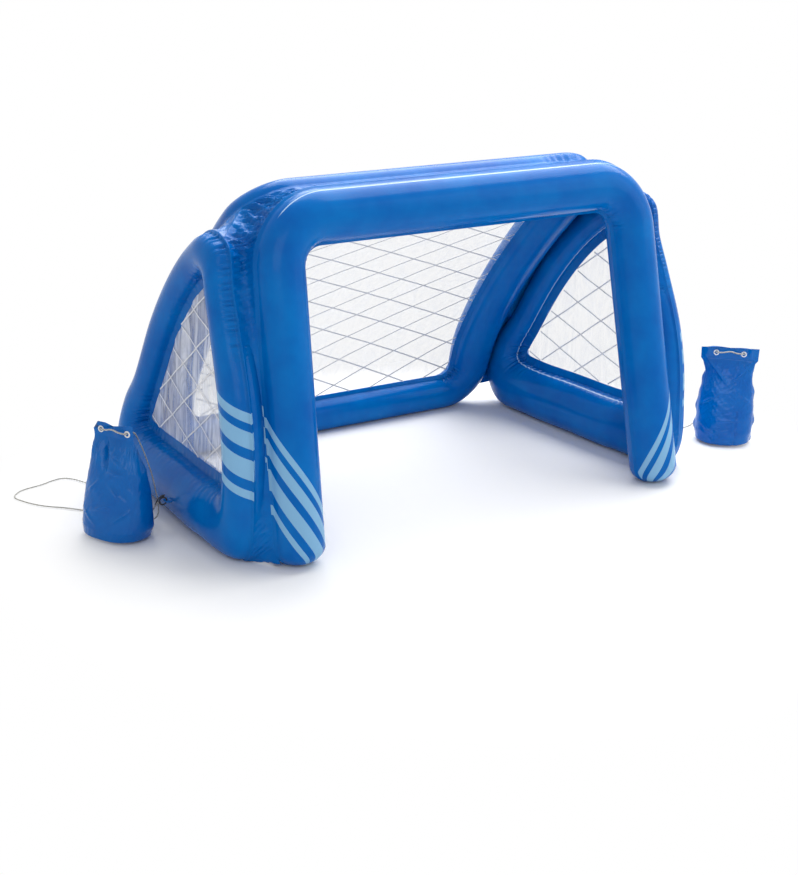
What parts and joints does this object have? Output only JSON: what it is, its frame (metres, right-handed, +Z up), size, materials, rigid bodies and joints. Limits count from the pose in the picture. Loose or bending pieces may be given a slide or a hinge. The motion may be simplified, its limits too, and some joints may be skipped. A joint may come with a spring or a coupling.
{
  "type": "inflatable water polo goal",
  "caption": "Inflatable free-standing goal: tubular front frame, curved rear frame, triangular side frames, clear printed nets, tied water weight bags.",
  "frame": {"origin": "on the floor, in the middle of the flat under the rear rail, on the goal's plane of symmetry", "axes": "+Z up, mouth facing -Y, +X to the right seen from the front, along the bar and the rear rail"},
  "size_m": [1.9211, 0.8713, 0.8146],
  "materials": {
    "vinyl": "glossy blue vinyl with slanted light blue stripes",
    "film": "clear vinyl film",
    "print": "white printed net lines",
    "clear": "translucent soft vinyl",
    "white": "white moulded plastic",
    "cord": "white braided cord",
    "black_cord": "black cord"
  },
  "bodies": {
    "goal": {"front_frame": "vinyl", "front_valve_disc": "clear", "left_arm_web": "vinyl", "left_bag": "vinyl", "left_bag_grip_cord": "cord", "left_bag_inner_eyelet": "white", "left_bag_outer_eyelet": "white", "left_leg_web": "vinyl", "left_net_film": "film", "left_net_lines": "print", "left_side_frame": "vinyl", "left_side_valve_disc": "clear", "left_tie_cord": "cord", "left_tie_loop": "black_cord", "left_tie_tab": "vinyl", "rear_frame": "vinyl", "rear_net_film": "film", "rear_net_lines": "print", "rear_valve_disc": "clear", "right_arm_web": "vinyl", "right_bag": "vinyl", "right_bag_grip_cord": "cord", "right_bag_inner_eyelet": "white", "right_bag_outer_eyelet": "white", "right_leg_web": "vinyl", "right_net_film": "film", "right_net_lines": "print", "right_side_frame": "vinyl", "right_side_valve_disc": "clear", "right_tie_cord": "cord", "right_tie_loop": "black_cord", "right_tie_tab": "vinyl", "top_web": "vinyl"},
    "front_stem": {"front_valve_stem": "clear"},
    "front_plug": {"front_valve_plug": "clear"},
    "rear_stem": {"rear_valve_stem": "clear"},
    "rear_plug": {"rear_valve_plug": "clear"},
    "right_side_stem": {"right_side_valve_stem": "clear"},
    "right_side_plug": {"right_side_valve_plug": "clear"},
    "left_side_stem": {"left_side_valve_stem": "clear"},
    "left_side_plug": {"left_side_valve_plug": "clear"}
  },
  "joints": [
    {"name": "front_stem_slide", "type": "slide", "parent": "goal", "child": "front_stem", "axis": [0.4695, 0.8619, -0.1914], "range_m": [0, 0.014]},
    {"name": "front_plug_slide", "type": "slide", "parent": "front_stem", "child": "front_plug", "axis": [0.4695, 0.8619, -0.1914], "range_m": [0, 0.011]},
    {"name": "rear_stem_slide", "type": "slide", "parent": "goal", "child": "rear_stem", "axis": [0, 0.8445, 0.5355], "range_m": [0, 0.014]},
    {"name": "rear_plug_slide", "type": "slide", "parent": "rear_stem", "child": "rear_plug", "axis": [0, 0.8445, 0.5355], "range_m": [0, 0.011]},
    {"name": "right_side_stem_slide", "type": "slide", "parent": "goal", "child": "right_side_stem", "axis": [-0.0731, 0.8764, 0.476], "range_m": [0, 0.014]},
    {"name": "right_side_plug_slide", "type": "slide", "parent": "right_side_stem", "child": "right_side_plug", "axis": [-0.0731, 0.8764, 0.476], "range_m": [0, 0.011]},
    {"name": "left_side_stem_slide", "type": "slide", "parent": "goal", "child": "left_side_stem", "axis": [0.0731, 0.8764, 0.476], "range_m": [0, 0.014]},
    {"name": "left_side_plug_slide", "type": "slide", "parent": "left_side_stem", "child": "left_side_plug", "axis": [0.0731, 0.8764, 0.476], "range_m": [0, 0.011]}
  ]
}
